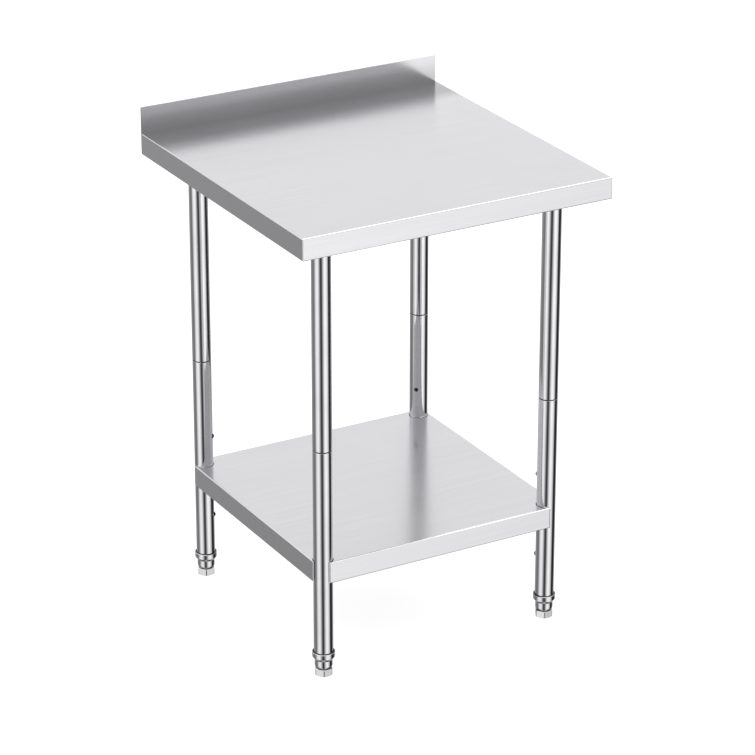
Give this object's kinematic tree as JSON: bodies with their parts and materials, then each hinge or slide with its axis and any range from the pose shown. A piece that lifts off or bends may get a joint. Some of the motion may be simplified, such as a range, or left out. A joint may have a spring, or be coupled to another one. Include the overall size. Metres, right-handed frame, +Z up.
{
  "type": "work table",
  "caption": "Stainless work table with a low backsplash, an undershelf, two-piece round legs and screw-adjustable feet.",
  "frame": {"origin": "on the floor under the middle of the table", "axes": "+Z up, front faces -Y, +X to the right seen from the front"},
  "size_m": [0.61, 0.61, 0.914],
  "materials": {
    "brushed_sheet": "brushed stainless sheet",
    "polished_tube": "polished stainless tube",
    "polished_foot": "bright plated steel",
    "satin_hex": "satin plated steel",
    "galvanised_steel": "galvanised",
    "cast_socket": "die cast, dull",
    "zinc_fastener": "bright zinc plate",
    "black_screw": "black oxide",
    "black_plastic": "moulded, dark"
  },
  "bodies": {
    "table": {"worktop": "brushed_sheet", "undershelf": "brushed_sheet", "top_channel_front": "galvanised_steel", "top_channel_centre": "galvanised_steel", "top_channel_rear": "galvanised_steel", "shelf_channel": "galvanised_steel", "weld_nuts": "galvanised_steel", "socket_bolts": "zinc_fastener", "shelf_bolts": "zinc_fastener", "shelf_washers": "zinc_fastener", "rivet_nuts": "zinc_fastener", "set_screws": "black_screw", "hole_plugs": "black_plastic", "leg_socket_fl": "cast_socket", "upper_leg_fl": "polished_tube", "lower_leg_fl": "polished_tube", "leg_joiner_fl": "black_plastic", "foot_body_fl": "polished_foot", "leg_socket_fr": "cast_socket", "upper_leg_fr": "polished_tube", "lower_leg_fr": "polished_tube", "leg_joiner_fr": "black_plastic", "foot_body_fr": "polished_foot", "leg_socket_rl": "cast_socket", "upper_leg_rl": "polished_tube", "lower_leg_rl": "polished_tube", "leg_joiner_rl": "black_plastic", "foot_body_rl": "polished_foot", "leg_socket_rr": "cast_socket", "upper_leg_rr": "polished_tube", "lower_leg_rr": "polished_tube", "leg_joiner_rr": "black_plastic", "foot_body_rr": "polished_foot"},
    "stem_fl": {"foot_stem_fl": "zinc_fastener"},
    "hex_fl": {"foot_hex_fl": "satin_hex"},
    "stem_fr": {"foot_stem_fr": "zinc_fastener"},
    "hex_fr": {"foot_hex_fr": "satin_hex"},
    "stem_rl": {"foot_stem_rl": "zinc_fastener"},
    "hex_rl": {"foot_hex_rl": "satin_hex"},
    "stem_rr": {"foot_stem_rr": "zinc_fastener"},
    "hex_rr": {"foot_hex_rr": "satin_hex"}
  },
  "joints": [
    {"name": "foot_fl_lift", "type": "slide", "parent": "table", "child": "stem_fl", "axis": [0, 0, -1], "range_m": [0, 0.0245]},
    {"name": "foot_fl_turn", "type": "hinge", "parent": "stem_fl", "child": "hex_fl", "pos_m": [-0.23, -0.23, 0.0065], "axis": [0, 0, -1], "range_deg": [0, 5040]},
    {"name": "foot_fr_lift", "type": "slide", "parent": "table", "child": "stem_fr", "axis": [0, 0, -1], "range_m": [0, 0.0245]},
    {"name": "foot_fr_turn", "type": "hinge", "parent": "stem_fr", "child": "hex_fr", "pos_m": [0.23, -0.23, 0.0065], "axis": [0, 0, -1], "range_deg": [0, 5040]},
    {"name": "foot_rl_lift", "type": "slide", "parent": "table", "child": "stem_rl", "axis": [0, 0, -1], "range_m": [0, 0.0245]},
    {"name": "foot_rl_turn", "type": "hinge", "parent": "stem_rl", "child": "hex_rl", "pos_m": [-0.23, 0.23, 0.0065], "axis": [0, 0, -1], "range_deg": [0, 5040]},
    {"name": "foot_rr_lift", "type": "slide", "parent": "table", "child": "stem_rr", "axis": [0, 0, -1], "range_m": [0, 0.0245]},
    {"name": "foot_rr_turn", "type": "hinge", "parent": "stem_rr", "child": "hex_rr", "pos_m": [0.23, 0.23, 0.0065], "axis": [0, 0, -1], "range_deg": [0, 5040]}
  ],
  "couplings": [
    {"joint": "foot_fl_turn", "follows": "foot_fl_lift", "rad_per_m": 3590.4},
    {"joint": "foot_fr_turn", "follows": "foot_fr_lift", "rad_per_m": 3590.4},
    {"joint": "foot_rl_turn", "follows": "foot_rl_lift", "rad_per_m": 3590.4},
    {"joint": "foot_rr_turn", "follows": "foot_rr_lift", "rad_per_m": 3590.4}
  ]
}
